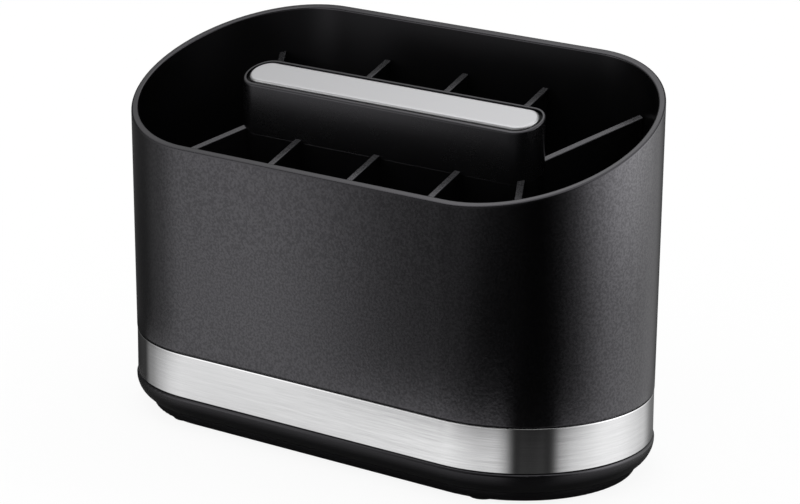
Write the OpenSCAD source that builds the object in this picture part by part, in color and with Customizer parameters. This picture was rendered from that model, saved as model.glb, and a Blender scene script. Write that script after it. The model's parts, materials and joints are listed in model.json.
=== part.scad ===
// Kitchen utensil holder: an oblong bin with a slanted mouth, a steel band round
// its foot, and a lift-out divider insert with a steel-capped handle.
// Sizes are in millimetres. +X runs along the length, -Y is the low front, +Z is up.
// The origin lies under the middle, on the plane that the feet rest on.

/* [Body] */
// Length over the rim, at the middle of its slant
body_l = 240; // [200:1:300]
// Width over the rim, at the middle of its slant
body_w = 110; // [96:1:140]
// Height of the rim at the front
front_h = 120; // [105:1:150]
// Slant of the mouth, in degrees
mouth_slant = 20; // [8:0.5:26]
// Thickness of the shell's wall
wall = 2.9; // [2.2:0.1:3.6]
// How far the outside leans in over 100 mm of height
draft = 1.1; // [0.2:0.1:2]
// Thickness of the shell's floor
floor_t = 2.6; // [1.8:0.1:3.5]
// Radius between the floor and the wall, inside
floor_r = 4; // [2:0.5:8]
// Radius of the shell's lower edge, above the band
shoulder_r = 0.8; // [0.3:0.1:0.8]

/* [Steel band] */
// Height of the band
band_h = 18.3; // [10:0.1:26]
// Thickness of the sheet
band_t = 0.6; // [0.4:0.1:1]
// How far the band lies back from the shell's face above it
band_back = 0.15; // [0.1:0.05:0.6]
// Width of the butt seam, at the rear
band_seam = 0.4; // [0.2:0.1:1]

/* [Base] */
// Height of the plinth
plinth_h = 4.3; // [3.5:0.1:7]
// How far the plinth lies back from the lip
plinth_back = 7.1; // [6.2:0.1:9]
// Height of the rolled lip
lip_h = 9; // [8:0.1:11]
// How far the roll draws the lip in at its foot
roll_in = 4.4; // [3:0.1:6]
// How far the lip stands out past the band
lip_out = 0.5; // [0.3:0.1:1.5]
// Radius of the lip's upper edge
lip_edge_r = 1.2; // [0.5:0.1:1.6]
// Thickness of the base's wall and plate
base_wall = 2.4; // [1.8:0.1:3]
// Depth that the shell stands in the base
shell_sink = 2.8; // [2:0.1:4]
// Radius of the other rounded edges
edge_r = 0.5; // [0.2:0.1:0.9]

/* [Feet] */
// Diameter of a foot
foot_d = 12; // [8:0.5:14]
// How far a foot stands out below the plinth
foot_proud = 1; // [0.5:0.1:2]
// Depth of a foot's seat in the plinth
foot_seat = 1; // [0.5:0.1:1.2]
// Angle of a foot from the long axis, about the middle of the rounded end
foot_angle = 75; // [60:1:90]
// Distance from a foot's edge to the plinth's edge
foot_edge = 1; // [0.5:0.1:4]

/* [Divider insert] */
// Divider walls on each long side
divider_n = 3; // [1:1:4]
// Distance between divider walls
divider_pitch = 40; // [30:1:50]
// Angle of the end dividers from the long axis
divider_angle = 60; // [50:1:75]
// Thickness of a divider at its top
divider_t = 2.8; // [1.6:0.1:3.4]
// How much thicker a divider is at its foot
divider_draft = 0.6; // [0:0.1:1.2]
// Depth of the divider tops below the mouth
divider_drop = 17.8; // [12:0.1:30]
// Clearance between the insert and the shell's wall
insert_gap = 0.8; // [0.3:0.1:1.5]
// Width of the spine below the handle
spine_w = 17.6; // [16.4:0.1:20]
// Thickness of the spine's wall
spine_wall = 2; // [1.4:0.1:2.2]

/* [Handle] */
// Width of the handle
handle_w = 18.4; // [18:0.1:22]
// How far the handle's rounded ends lie in from the body's
handle_back = 0.8; // [0:0.1:3]
// Thickness of the handle's wall
handle_wall = 1.9; // [1.5:0.1:2.2]
// Thickness of the handle's top under the plate
handle_top = 2.2; // [1.5:0.1:3]
// How far the handle's rim stands above the mouth
handle_rise = 1.7; // [-3:0.1:6]
// How far the handle's lower edge laps below the divider tops
handle_lap = 1.5; // [0.5:0.1:4]
// Height of the spine's plug inside the handle
plug_h = 9; // [7:0.5:12]
// Width of the handle's rim round the plate
handle_rim = 1.3; // [1:0.1:2.6]
// Thickness of the plate's sheet
plate_t = 0.8; // [0.5:0.1:1]
// How far the plate stands above the handle's rim
plate_proud = 0.5; // [0.3:0.1:1.5]
// Radius of the plate's rolled edge
plate_edge_r = 1.2; // [0.4:0.1:1.4]
// Width of the groove round the plate
plate_groove = 1; // [0.4:0.1:1.1]
// Depth of the plate's pocket
pocket_d = 1.2; // [1:0.1:1.6]

/* [Screws] */
// Diameter of a screw's shank
screw_d = 2.8; // [2.4:0.1:3.2]
// Diameter of a screw's head
head_d = 5.4; // [4.8:0.1:6]
// Height of a screw's head
head_h = 2; // [1.5:0.1:2.4]
// Depth of the cross in a screw's head
cross_d = 1; // [0.6:0.1:1.2]
// Length of a screw in its pilot hole
screw_bite = 5; // [3:0.5:6]
// Distance of the base screws from the middle, along the length
base_screw_x = 62; // [50:1:75]
// Distance of the base screws from the middle, across the width
base_screw_y = 24; // [14:1:30]
// Distance of the handle screws from the middle
handle_screw_x = 52; // [28:1:62]

/* [Hidden] */
$fn = 96;

// Fits: pieces that slip together, the gap under the band, a shank in its pilot hole,
// a shank or a head in its clearance hole, and the overrun of a cut
slip = 0.15;
band_gap = 0.3;
screw_slip = 0.05;
hole_slip = 0.3;
eps = 1;

// Plan: a straight run with a half circle at each end
run = body_l - body_w;
mouth_r = body_w / 2;
mouth_mid = front_h + mouth_r * tan(mouth_slant);
top_z = mouth_mid + 2 * mouth_r * tan(mouth_slant);
far = 2 * (body_l + top_z);

// Heights of the base, the band and the shell's floor
base_bottom = foot_proud;
lip_bottom = base_bottom + plinth_h;
lip_top = lip_bottom + lip_h;
band_bottom = lip_top + band_gap;
band_top = band_bottom + band_h;
shoulder_z = band_top + slip;
shell_bottom = lip_top - shell_sink;
floor_under = lip_top - edge_r;
floor_z = floor_under + floor_t;

// Radii at the rounded ends, which are also half widths of the straight run
band_r = shell_r(shoulder_z) - band_back;
spigot_r = band_r - band_t - slip;
lip_r = band_r + lip_out;
plinth_r = lip_r - plinth_back;
skirt_in = spigot_r - base_wall;
shoulder_in = shell_r(shoulder_z + shoulder_r) - shoulder_r;

// The roll under the lip: an arc from the lip's widest height down to its foot
roll_z = lip_top - lip_edge_r;
roll_h = roll_z - lip_bottom;
roll_r = (roll_h * roll_h + roll_in * roll_in) / (2 * roll_in);

// Feet, on the rounded ends
foot_r = foot_d / 2;
foot_ring = plinth_r - foot_edge - foot_r;
foot_x = run / 2 + foot_ring * cos(foot_angle);
foot_y = foot_ring * sin(foot_angle);

// Insert and handle
handle_run = run - 2 * handle_back;
spine_r = spine_w / 2;
handle_r = handle_w / 2;
handle_in = handle_r - handle_wall;
plug_r = handle_in - slip;
handle_foot = divider_drop + handle_lap;
pocket_drop = pocket_d / cos(mouth_slant) - handle_rise;

// The plate and its pocket: the slant widens the handle's top but doesn't lengthen it,
// so the pocket's run is shorter than the handle's by as much, to a tenth of a millimetre
top_r = handle_r / cos(mouth_slant);
pocket_r = top_r - handle_rim;
plate_r = pocket_r - plate_groove;
plate_run = round(10 * (handle_run - 2 * (top_r - handle_r))) / 10;

// Screws and their bosses
cross_l = 0.6 * head_d;
cross_w = 0.16 * head_d;
boss_r = head_d / 2 + base_wall / 4;
pilot_r = screw_d / 2 + screw_slip;
hole_r = screw_d / 2 + hole_slip;
base_seat_z = base_bottom + base_wall + head_h;
base_boss_z = base_seat_z + base_wall;
deck_drop = handle_foot - plug_h;
deck_z = mouth_mid - deck_drop;
handle_seat_z = deck_z - spine_wall / cos(mouth_slant) - boss_r * tan(mouth_slant) - slip;
handle_boss_z = deck_z + boss_r * tan(mouth_slant) + slip;

// Outer radius of the shell at a height
function shell_r(z) = mouth_r - (mouth_mid - z) * draft / 100;

// Inner radius of the shell at a height
function cavity_r(z) = shell_r(z) - wall;

// Carries a profile all round an oblong plan with a straight run of a given length:
// its x is the distance from the middle line, and its y is the height
module round_plan(length = run) {
    for (side = [-1, 1]) {
        translate([side * length / 2, 0, 0])
            rotate([0, 0, -90 * side])
                rotate_extrude(angle = 180)
                    children();
        rotate([90, 0, 90 * side])
            linear_extrude(height = length, center = true)
                children();
    }
}

// Profile of a plain column of a given radius
module column(r, z0, z1) {
    translate([0, z0])
        square([r, z1 - z0]);
}

// Everything below a plane that runs parallel to the mouth, drop below it
module under_mouth(drop = 0) {
    translate([0, 0, mouth_mid - drop])
        rotate([mouth_slant, 0, 0])
            translate([-far / 2, -far / 2, -far])
                cube(far);
}

// A solid oblong column cut off parallel to the mouth
module slant_column(r, z0, drop, length = handle_run) {
    intersection() {
        round_plan(length)
            column(r, z0, top_z);
        under_mouth(drop);
    }
}

// Puts children on each corner of a rectangle
module corners(x, y) {
    for (sx = [-1, 1])
        for (sy = [-1, 1])
            translate([sx * x, sy * y, 0])
                children();
}

// Puts children at both ends of the handle
module handle_ends() {
    for (sx = [-1, 1])
        translate([sx * handle_screw_x, 0, 0])
            children();
}

// A screw that points up, with its head's seat at height 0
module screw(length) {
    difference() {
        union() {
            translate([0, 0, -head_h])
                cylinder(h = head_h, d = head_d);
            cylinder(h = length, d = screw_d);
        }
        for (turn = [0, 90])
            rotate([0, 0, turn])
                translate([0, 0, -head_h + (cross_d - eps) / 2])
                    cube([cross_l, cross_w, cross_d + eps], center = true);
    }
}

// Profile of the shell's hollow, with its rounded foot
module cavity_profile() {
    wall_foot = cavity_r(floor_z + floor_r);
    polygon([[0, floor_z], [wall_foot - floor_r, floor_z], [wall_foot, floor_z + floor_r],
             [cavity_r(top_z + eps), top_z + eps], [0, top_z + eps]]);
    translate([wall_foot - floor_r, floor_z + floor_r])
        circle(floor_r);
}

// Profile of the shell's outside, from its skirt past the rounded shoulder to the top
module shell_profile() {
    polygon([[0, floor_under], [skirt_in, floor_under], [skirt_in, shell_bottom],
             [spigot_r, shell_bottom], [spigot_r, shoulder_z], [shoulder_in, shoulder_z],
             [shoulder_in + shoulder_r, shoulder_z + shoulder_r], [shell_r(top_z), top_z], [0, top_z]]);
    translate([shoulder_in, shoulder_z + shoulder_r])
        circle(shoulder_r);
}

// Space for the insert: the hollow less the clearance, with a bevel past the rounded foot
module insert_profile() {
    bevel = floor_r + insert_gap;
    wall_foot = cavity_r(floor_z + bevel) - insert_gap;
    polygon([[0, floor_z], [wall_foot - bevel, floor_z], [wall_foot, floor_z + bevel],
             [cavity_r(top_z) - insert_gap, top_z], [0, top_z]]);
}

module outer_shell() {
    color("#232325")
        difference() {
            union() {
                intersection() {
                    round_plan()
                        difference() {
                            shell_profile();
                            cavity_profile();
                        }
                    under_mouth();
                }
                corners(base_screw_x, base_screw_y)
                    translate([0, 0, base_boss_z])
                        cylinder(h = floor_under - base_boss_z + floor_t / 2, r = boss_r);
            }
            corners(base_screw_x, base_screw_y)
                translate([0, 0, base_boss_z - eps])
                    cylinder(h = screw_bite + slip + eps, r = pilot_r);
        }
}

module steel_band() {
    color("#c9cacc")
        difference() {
            round_plan()
                translate([band_r - band_t, band_bottom])
                    square([band_t, band_h]);
            translate([-band_seam / 2, 0, band_bottom - eps])
                cube([band_seam, body_w, band_h + 2 * eps]);
        }
}

// Profile of the base's outside: plinth, rolled lip and rounded edges
module base_profile() {
    translate([0, base_bottom + edge_r])
        square([plinth_r, lip_top - base_bottom - edge_r]);
    translate([0, base_bottom])
        square([plinth_r - edge_r, lip_top - base_bottom]);
    translate([plinth_r - edge_r, base_bottom + edge_r])
        circle(edge_r);
    intersection() {
        translate([lip_r - roll_r, roll_z])
            circle(roll_r);
        translate([0, lip_bottom])
            square([lip_r + eps, roll_h]);
    }
    translate([0, roll_z - eps])
        square([lip_r - lip_edge_r, lip_edge_r + eps]);
    translate([lip_r - lip_edge_r, roll_z])
        circle(lip_edge_r);
}

// Profile of the base's hollow, with the ledge that the shell stands on
module base_hollow_profile() {
    ledge_in = skirt_in;
    ledge_z = shell_bottom - base_wall;
    column(plinth_r - base_wall, base_bottom + base_wall, lip_top + eps);
    column(ledge_in, ledge_z, lip_top + eps);
    column(spigot_r + slip, shell_bottom, lip_top + eps);
}

module base_tray() {
    color("#161617")
        difference() {
            union() {
                difference() {
                    round_plan()
                        base_profile();
                    round_plan()
                        base_hollow_profile();
                }
                corners(base_screw_x, base_screw_y)
                    translate([0, 0, base_bottom])
                        cylinder(h = base_boss_z - base_bottom, r = boss_r + base_wall / 2);
            }
            corners(base_screw_x, base_screw_y) {
                translate([0, 0, base_bottom - eps])
                    cylinder(h = base_seat_z - base_bottom + eps, d = head_d + 2 * hole_slip);
                translate([0, 0, base_bottom])
                    cylinder(h = base_boss_z, r = hole_r);
            }
            corners(foot_x, foot_y)
                translate([0, 0, base_bottom - eps])
                    cylinder(h = foot_seat + eps, r = foot_r + slip);
        }
}

module base_screws() {
    color("#8a8c90")
        corners(base_screw_x, base_screw_y)
            translate([0, 0, base_seat_z])
                screw(base_boss_z - base_seat_z + screw_bite);
}

// One anti-slip foot, with a rounded lower edge
module foot(sx, sy) {
    color("#0f0f10")
        translate([sx * foot_x, sy * foot_y, 0])
            rotate_extrude() {
                column(foot_r - edge_r, 0, foot_proud + foot_seat);
                column(foot_r, edge_r, foot_proud + foot_seat);
                translate([foot_r - edge_r, edge_r])
                    circle(edge_r);
            }
}

// One divider wall along +X, thinner towards its top
module divider_wall(length, extra) {
    top_half = divider_t / 2 + extra;
    foot_half = top_half + divider_draft / 2;
    rotate([90, 0, 90])
        linear_extrude(height = length)
            polygon([[-foot_half, floor_z], [foot_half, floor_z], [top_half, mouth_mid], [-top_half, mouth_mid]]);
}

// All divider walls, each thickened by extra on both faces
module divider_walls(extra = 0) {
    for (i = [0 : divider_n - 1])
        for (side = [-1, 1])
            translate([(i - (divider_n - 1) / 2) * divider_pitch, 0, 0])
                rotate([0, 0, 90 * side])
                    divider_wall(body_w, extra);
    for (sx = [-1, 1])
        for (sy = [-1, 1])
            translate([sx * run / 2, 0, 0])
                rotate([0, 0, sy * (90 - sx * (90 - divider_angle))])
                    divider_wall(body_w, extra);
}

module divider_insert() {
    color("#1c1c1e")
        difference() {
            union() {
                intersection() {
                    divider_walls();
                    slant_column(body_w, floor_z, divider_drop, run);
                    round_plan()
                        insert_profile();
                }
                slant_column(spine_r, floor_z, handle_foot);
                slant_column(plug_r, floor_z, deck_drop);
                handle_ends()
                    translate([0, 0, handle_seat_z])
                        cylinder(h = handle_boss_z - handle_seat_z, r = boss_r);
            }
            difference() {
                union() {
                    slant_column(spine_r - spine_wall, floor_z - eps, handle_foot + spine_wall);
                    slant_column(plug_r - spine_wall, floor_z - eps, deck_drop + spine_wall / cos(mouth_slant));
                }
                handle_ends()
                    translate([0, 0, handle_seat_z])
                        cylinder(h = plug_h, r = boss_r);
            }
            handle_ends()
                translate([0, 0, handle_seat_z - eps])
                    cylinder(h = top_z, r = hole_r);
        }
}

// Puts children on the slanted top of the handle, with height 0 at its rim
module on_handle() {
    translate([0, 0, mouth_mid + handle_rise])
        rotate([mouth_slant, 0, 0])
            children();
}

module handle_shell() {
    color("#202022")
        difference() {
            union() {
                difference() {
                    slant_column(handle_r, floor_z, -handle_rise);
                    under_mouth(handle_foot);
                    slant_column(handle_in, floor_z - eps, pocket_drop + handle_top);
                }
                handle_ends()
                    intersection() {
                        translate([0, 0, handle_boss_z])
                            cylinder(h = top_z, r = boss_r);
                        under_mouth(pocket_drop + handle_top / 2);
                    }
            }
            on_handle()
                translate([0, 0, -pocket_d])
                    round_plan(plate_run)
                        column(pocket_r, 0, pocket_d + eps);
            intersection() {
                divider_walls(slip);
                slant_column(body_w, floor_z, divider_drop - slip, run);
            }
            handle_ends()
                translate([0, 0, handle_boss_z - eps])
                    cylinder(h = screw_bite + slip + eps, r = pilot_r);
        }
}

module handle_screws() {
    color("#8a8c90")
        handle_ends()
            translate([0, 0, handle_seat_z])
                screw(handle_boss_z - handle_seat_z + screw_bite);
}

module plate_adhesive_pad() {
    color("#d9d7cf")
        on_handle()
            translate([0, 0, -pocket_d])
                round_plan(plate_run)
                    column(plate_r - plate_t - slip, 0, pocket_d + plate_proud - plate_t);
}

module handle_plate() {
    skirt_z = slip - pocket_d;
    color("#c4c5c8")
        on_handle()
            round_plan(plate_run)
                difference() {
                    union() {
                        column(plate_r - plate_edge_r, skirt_z, plate_proud);
                        column(plate_r, skirt_z, plate_proud - plate_edge_r);
                        intersection() {
                            translate([plate_r - plate_edge_r, plate_proud - plate_edge_r])
                                circle(plate_edge_r);
                            column(plate_r, skirt_z, plate_proud);
                        }
                    }
                    column(plate_r - plate_t, skirt_z - eps, plate_proud - plate_t);
                }
}

outer_shell();
steel_band();
base_tray();
base_screws();
foot(-1, -1);  // foot_front_left
foot(1, -1);  // foot_front_right
foot(-1, 1);  // foot_rear_left
foot(1, 1);  // foot_rear_right
divider_insert();
handle_shell();
handle_screws();
plate_adhesive_pad();
handle_plate();
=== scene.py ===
"""Looks of the kitchen utensil holder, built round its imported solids.

The holder is an oblong bin with a slanted mouth, a brushed steel band round its foot
and a lift-out divider insert with a steel-capped handle. Lengths are in metres, in the
frame of the solids: +X along the length, -Y the low front, +Z up.
"""

import json
import logging
import math
from collections.abc import Sequence
from dataclasses import dataclass
from enum import Enum

import bmesh
import bpy
from bpy.types import ID, Material, Mesh, Node, NodeSocket, Object, World
from mathutils import Matrix, Vector

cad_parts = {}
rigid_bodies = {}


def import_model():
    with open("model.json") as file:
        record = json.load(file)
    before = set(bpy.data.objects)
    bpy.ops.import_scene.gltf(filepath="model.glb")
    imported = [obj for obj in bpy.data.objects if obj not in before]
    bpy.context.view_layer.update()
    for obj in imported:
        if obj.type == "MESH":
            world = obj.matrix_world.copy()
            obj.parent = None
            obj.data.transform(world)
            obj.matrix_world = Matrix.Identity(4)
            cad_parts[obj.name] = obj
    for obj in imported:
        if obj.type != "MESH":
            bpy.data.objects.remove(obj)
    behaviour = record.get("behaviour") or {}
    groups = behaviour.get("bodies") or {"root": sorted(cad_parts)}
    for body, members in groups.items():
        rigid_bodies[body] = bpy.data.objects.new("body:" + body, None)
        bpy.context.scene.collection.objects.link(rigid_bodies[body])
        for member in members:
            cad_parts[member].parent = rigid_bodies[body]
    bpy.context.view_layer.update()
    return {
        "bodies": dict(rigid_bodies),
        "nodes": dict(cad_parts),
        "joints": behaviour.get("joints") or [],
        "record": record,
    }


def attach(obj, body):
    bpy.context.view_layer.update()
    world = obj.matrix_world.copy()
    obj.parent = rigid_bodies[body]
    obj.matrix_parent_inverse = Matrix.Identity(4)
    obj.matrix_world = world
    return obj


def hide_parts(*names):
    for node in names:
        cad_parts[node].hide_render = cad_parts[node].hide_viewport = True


log = logging.getLogger("utensil_holder")

Pair = tuple[float, float]
Colour = tuple[float, float, float]
Inputs = dict[str, object]

MM = 0.001
# tint of the gloss on black plastic, and its colour's darkest and lightest shade
COOL_GLOSS = (0.95, 0.925, 1.0, 1.0)
SHADES = (0.85, 1.2)
# points closer than the weld are one, and edges shorter than a sliver are dropped
WELD = 0.001 * MM
SLIVER = 0.0005 * MM
SHARP_ANGLE = math.radians(38)
# a face has the last of its piece's finishes whose step lies below the mean coat of its points
COAT_STEPS = (-1.0, 0.6, 1.4)


class Follow(Enum):
    """How a corner of a profile follows the slant of the mouth."""

    LEVEL = "stays at its height all round"
    SLANTED = "keeps its plan, and its height follows the mouth"
    TILTED = "lies in the tilted plane of the handle's top"


class SocketKind(Enum):
    """Kinds of named input that a Geometry Nodes tree takes."""

    GEOMETRY = "NodeSocketGeometry"
    NUMBER = "NodeSocketFloat"
    COUNT = "NodeSocketInt"
    MATERIAL = "NodeSocketMaterial"


@dataclass(frozen=True)
class Field:
    """An output socket that can be reckoned with like a number."""

    tree: "NodeTree"
    socket: NodeSocket

    def call(self, operation: str, *others: "Field | float") -> "Field":
        """Another sum of the Math node, such as FLOOR, SINE or MAXIMUM."""
        return self.tree.math(operation, self, *others)

    def mixed(self, other: "Field", share: float) -> "Field":
        """This field by its share, and another by the rest."""
        return self * share + other * (1 - share)

    def __add__(self, other: "Field | float") -> "Field":
        """The sum of two fields."""
        return self.call("ADD", other)

    def __sub__(self, other: "Field | float") -> "Field":
        """The difference of two fields."""
        return self.call("SUBTRACT", other)

    def __rsub__(self, other: float) -> "Field":
        """A number less this field."""
        return self.tree.math("SUBTRACT", other, self)

    def __mul__(self, other: "Field | float") -> "Field":
        """The product of two fields."""
        return self.call("MULTIPLY", other)

    def __truediv__(self, other: "Field | float") -> "Field":
        """The quotient of two fields."""
        return self.call("DIVIDE", other)

    __radd__ = __add__


class NodeTree:
    """A node tree under construction, with short ways to add to it."""

    def __init__(self, tree: bpy.types.NodeTree) -> None:
        """Takes over an empty tree."""
        self.tree = tree

    def feed(self, socket: NodeSocket, value: object) -> None:
        """Links a field to an input, or sets the input to a constant.

        Args:
            socket: the input.
            value: the field or constant.
        """
        if isinstance(value, Field):
            self.tree.links.new(value.socket, socket)
        else:
            socket.default_value = value

    def add(self, kind: str, inputs: Inputs | None = None, **settings: object) -> Node:
        """Adds a node.

        Args:
            kind: Blender's name of the node type.
            inputs: fields or constants, by the input's name.
            settings: plain settings of the node, by name.

        Returns:
            The new node.
        """
        node = self.tree.nodes.new(kind)
        for name, value in settings.items():
            setattr(node, name, value)
        for name, value in (inputs or {}).items():
            self.feed(node.inputs[name], value)
        return node

    def use(self, kind: str, output: str, inputs: Inputs | None = None, **settings: object) -> Field:
        """Adds a node and gives one of its outputs as a field."""
        return Field(self, self.add(kind, inputs, **settings).outputs[output])

    def math(self, operation: str, *values: Field | float) -> Field:
        """Adds a Math node.

        Args:
            operation: the node's operation.
            values: fields or numbers for its inputs, in order.

        Returns:
            The result as a field.
        """
        node = self.add("ShaderNodeMath", operation=operation)
        for socket, value in zip(node.inputs, values):
            self.feed(socket, value)
        return Field(self, node.outputs[0])

    def vector(self, x: Field | float, y: Field | float, z: Field | float) -> Field:
        """Combines three fields into a vector."""
        return self.use("ShaderNodeCombineXYZ", "Vector", {"X": x, "Y": y, "Z": z})

    def parts(self, vector: Field) -> tuple[Field, Field, Field]:
        """Splits a vector into its three fields."""
        node = self.add("ShaderNodeSeparateXYZ", {"Vector": vector})
        return tuple(Field(self, socket) for socket in node.outputs)


def add_object(name: str, data: ID) -> Object:
    """Puts a mesh or a camera in the scene.

    Args:
        name: name of the new object.
        data: what the object shows.

    Returns:
        The object.
    """
    added = bpy.data.objects.new(name, data)
    bpy.context.scene.collection.objects.link(added)
    return added


@dataclass(frozen=True)
class Corner:
    """One corner of a profile line.

    Attributes:
        out: distance from the middle line of the plan.
        up: height.
        follow: how the corner follows the mouth.
        turn: radius that rounds the corner.
        coat: number of the finish here; a face goes by the mean of its points.
    """

    out: float
    up: float
    follow: Follow = Follow.LEVEL
    turn: float = 0.0
    coat: int = 0

    @property
    def at(self) -> Vector:
        """The corner's place in the profile's plane."""
        return Vector((self.out, self.up))


@dataclass(frozen=True)
class Profile:
    """A line of corners, rounded where they say so.

    Attributes:
        corners: the corners, in order.
        closed: whether the line returns to its start.
        steps: straight pieces in a rounded corner.
        guard: distance of the extra point that keeps shading flat beside a rounded corner.
    """

    corners: tuple[Corner, ...]
    closed: bool = False
    steps: int = 6
    guard: float = 0.12 * MM

    def points(self) -> list[tuple[Corner, Vector]]:
        """Works out the line's points.

        Returns:
            The points, each with the corner it belongs to.
        """
        line: list[tuple[Corner, Vector]] = []
        for place, corner in enumerate(self.corners):
            if corner.turn == 0.0:
                line.append((corner, corner.at))
                continue
            before, after = self.corners[place - 1], self.corners[(place + 1) % len(self.corners)]
            line.extend((corner, point) for point in self.rounded(corner, before.at, after.at))
        if self.closed:
            line.append(line[0])
        return line

    def rounded(self, corner: Corner, before: Vector, after: Vector) -> list[Vector]:
        """Rounds one corner.

        Args:
            corner: the corner.
            before: place of the corner before it.
            after: place of the corner after it.

        Returns:
            The arc's points, with a guard point at each end.
        """
        at = corner.at
        back, on = (before - at).normalized(), (after - at).normalized()
        half = back.angle(on) / 2
        reach = corner.turn / math.tan(half)
        centre = at + (back + on).normalized() * (corner.turn / math.sin(half))
        first, last = at + back * reach - centre, at + on * reach - centre
        sweep = first.angle(last)
        arc = [at + back * (reach + self.guard)]
        for step in range(self.steps + 1):
            share = step / self.steps
            early = math.sin((1 - share) * sweep) / math.sin(sweep)
            late = math.sin(share * sweep) / math.sin(sweep)
            arc.append(centre + first * early + last * late)
        arc.append(at + on * (reach + self.guard))
        return arc

    def mesh(self) -> Mesh:
        """Makes the line a mesh of edges.

        Returns:
            The mesh, with what the trees read stored on its points.
        """
        line = self.points()
        mesh = bpy.data.meshes.new("profile")
        edges = [(k, k + 1) for k in range(len(line) - 1)]
        mesh.from_pydata([(point.x, 0.0, point.y) for _, point in line], edges, [])
        girth = [0.0]
        for (_, a), (_, b) in zip(line, line[1:]):
            girth.append(girth[-1] + (b - a).length)
        stored = {
            "ride": [float(corner.follow is Follow.SLANTED) for corner, _ in line],
            "tilt": [float(corner.follow is Follow.TILTED) for corner, _ in line],
            "coat": [float(corner.coat) for corner, _ in line],
            "girth": girth,
        }
        for name, values in stored.items():
            mesh.attributes.new(name, "FLOAT", "POINT").data.foreach_set("value", values)
        return mesh


class GrowthTree(NodeTree):
    """A Geometry Nodes tree that grows a piece from a profile line."""

    def __init__(self, name: str) -> None:
        """Starts the tree with its profile input.

        Args:
            name: name of the node group.
        """
        super().__init__(bpy.data.node_groups.new(name, "GeometryNodeTree"))
        self.entry = self.add("NodeGroupInput")
        self.identifiers: dict[str, str] = {}
        self.profile = self.input("Profile", SocketKind.GEOMETRY)
        self.tree.interface.new_socket("Piece", in_out="OUTPUT", socket_type=SocketKind.GEOMETRY.value)

    def input(self, name: str, kind: SocketKind) -> Field:
        """Adds a named input to the tree.

        Args:
            name: the input's name.
            kind: what it takes.

        Returns:
            The input as a field.
        """
        socket = self.tree.interface.new_socket(name, in_out="INPUT", socket_type=kind.value)
        self.identifiers[name] = socket.identifier
        return Field(self, self.entry.outputs[name])

    def inputs(self, kind: SocketKind, *names: str) -> list[Field]:
        """Adds named inputs of one kind."""
        return [self.input(name, kind) for name in names]

    def index(self) -> Field:
        """The number of each point."""
        return self.use("GeometryNodeInputIndex", "Index")

    def attribute(self, name: str) -> Field:
        """A stored number of each point."""
        return self.use("GeometryNodeInputNamedAttribute", "Attribute", {"Name": name}, data_type="FLOAT")

    def sample(self, value: Field, row: Field, data_type: str = "FLOAT") -> Field:
        """Reads a field of the profile at the point that a row names."""
        inputs = {"Geometry": self.profile, "Value": value, "Index": row}
        return self.use("GeometryNodeSampleIndex", "Value", inputs, data_type=data_type, domain="POINT")

    def copies(self, count: Field | int) -> tuple[Field, Field, Field]:
        """Makes a grid that repeats the profile's points.

        Args:
            count: how often the profile is repeated.

        Returns:
            The grid, and for its points the number of the copy and of the profile's point.
        """
        rows = self.use("GeometryNodeAttributeDomainSize", "Point Count", {"Geometry": self.profile})
        size = {"Size X": 1.0, "Size Y": 1.0, "Vertices X": count, "Vertices Y": rows}
        grid = self.use("GeometryNodeMeshGrid", "Mesh", size)
        copy = ((self.index() + 0.5) / rows).call("FLOOR")
        return grid, copy, self.index() - copy * rows

    def profile_place(self, row: Field) -> tuple[Field, Field, Field]:
        """X, Y and Z of a point of the profile."""
        position = self.use("GeometryNodeInputPosition", "Position")
        return self.parts(self.sample(position, row, "FLOAT_VECTOR"))

    def store(
        self, geometry: Field, values: dict[str, Field], data_type: str = "FLOAT", domain: str = "POINT"
    ) -> Field:
        """Keeps fields as named attributes.

        Args:
            geometry: geometry to keep them on.
            values: the fields, by the attribute's name.
            data_type: kind of value.
            domain: what carries the value.

        Returns:
            The geometry with the attributes.
        """
        kind = {"data_type": data_type, "domain": domain}
        for name, value in values.items():
            inputs = {"Geometry": geometry, "Name": name, "Value": value}
            geometry = self.use("GeometryNodeStoreNamedAttribute", "Geometry", inputs, **kind)
        return geometry

    def end(self, geometry: Field, place: Field, *materials: Field) -> None:
        """Closes the tree: sets places, welds, realizes instances and sets the materials.

        Args:
            geometry: the grown piece.
            place: where its points belong.
            materials: one to three materials, in the order of the coats.
        """
        inputs = {"Geometry": geometry, "Position": place}
        whole = self.use("GeometryNodeSetPosition", "Geometry", inputs)
        inputs = {"Geometry": whole, "Distance": WELD}
        whole = self.use("GeometryNodeMergeByDistance", "Geometry", inputs)
        whole = self.use("GeometryNodeRealizeInstances", "Geometry", {"Geometry": whole})
        for material, step in zip(materials, COAT_STEPS):
            faces = self.attribute("coat").call("GREATER_THAN", step)
            inputs = {"Geometry": whole, "Selection": faces, "Material": material}
            whole = self.use("GeometryNodeSetMaterial", "Geometry", inputs)
        self.add("NodeGroupOutput", {"Piece": whole})

    def grow(self, profile: Profile, values: Inputs) -> Mesh:
        """Runs the tree on a profile.

        Args:
            profile: line that the piece grows from.
            values: the tree's inputs, by name.

        Returns:
            The piece as a plain mesh.
        """
        host = add_object("profile_host", profile.mesh())
        modifier = host.modifiers.new(self.tree.name, "NODES")
        modifier.node_group = self.tree
        for name, value in values.items():
            modifier[self.identifiers[name]] = value
        graph = bpy.context.evaluated_depsgraph_get()
        grown = host.evaluated_get(graph)
        mesh = bpy.data.meshes.new_from_object(grown, preserve_all_data_layers=True, depsgraph=graph)
        host.modifiers.remove(modifier)
        line = host.data
        bpy.data.objects.remove(host)
        bpy.data.meshes.remove(line)
        return mesh


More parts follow.
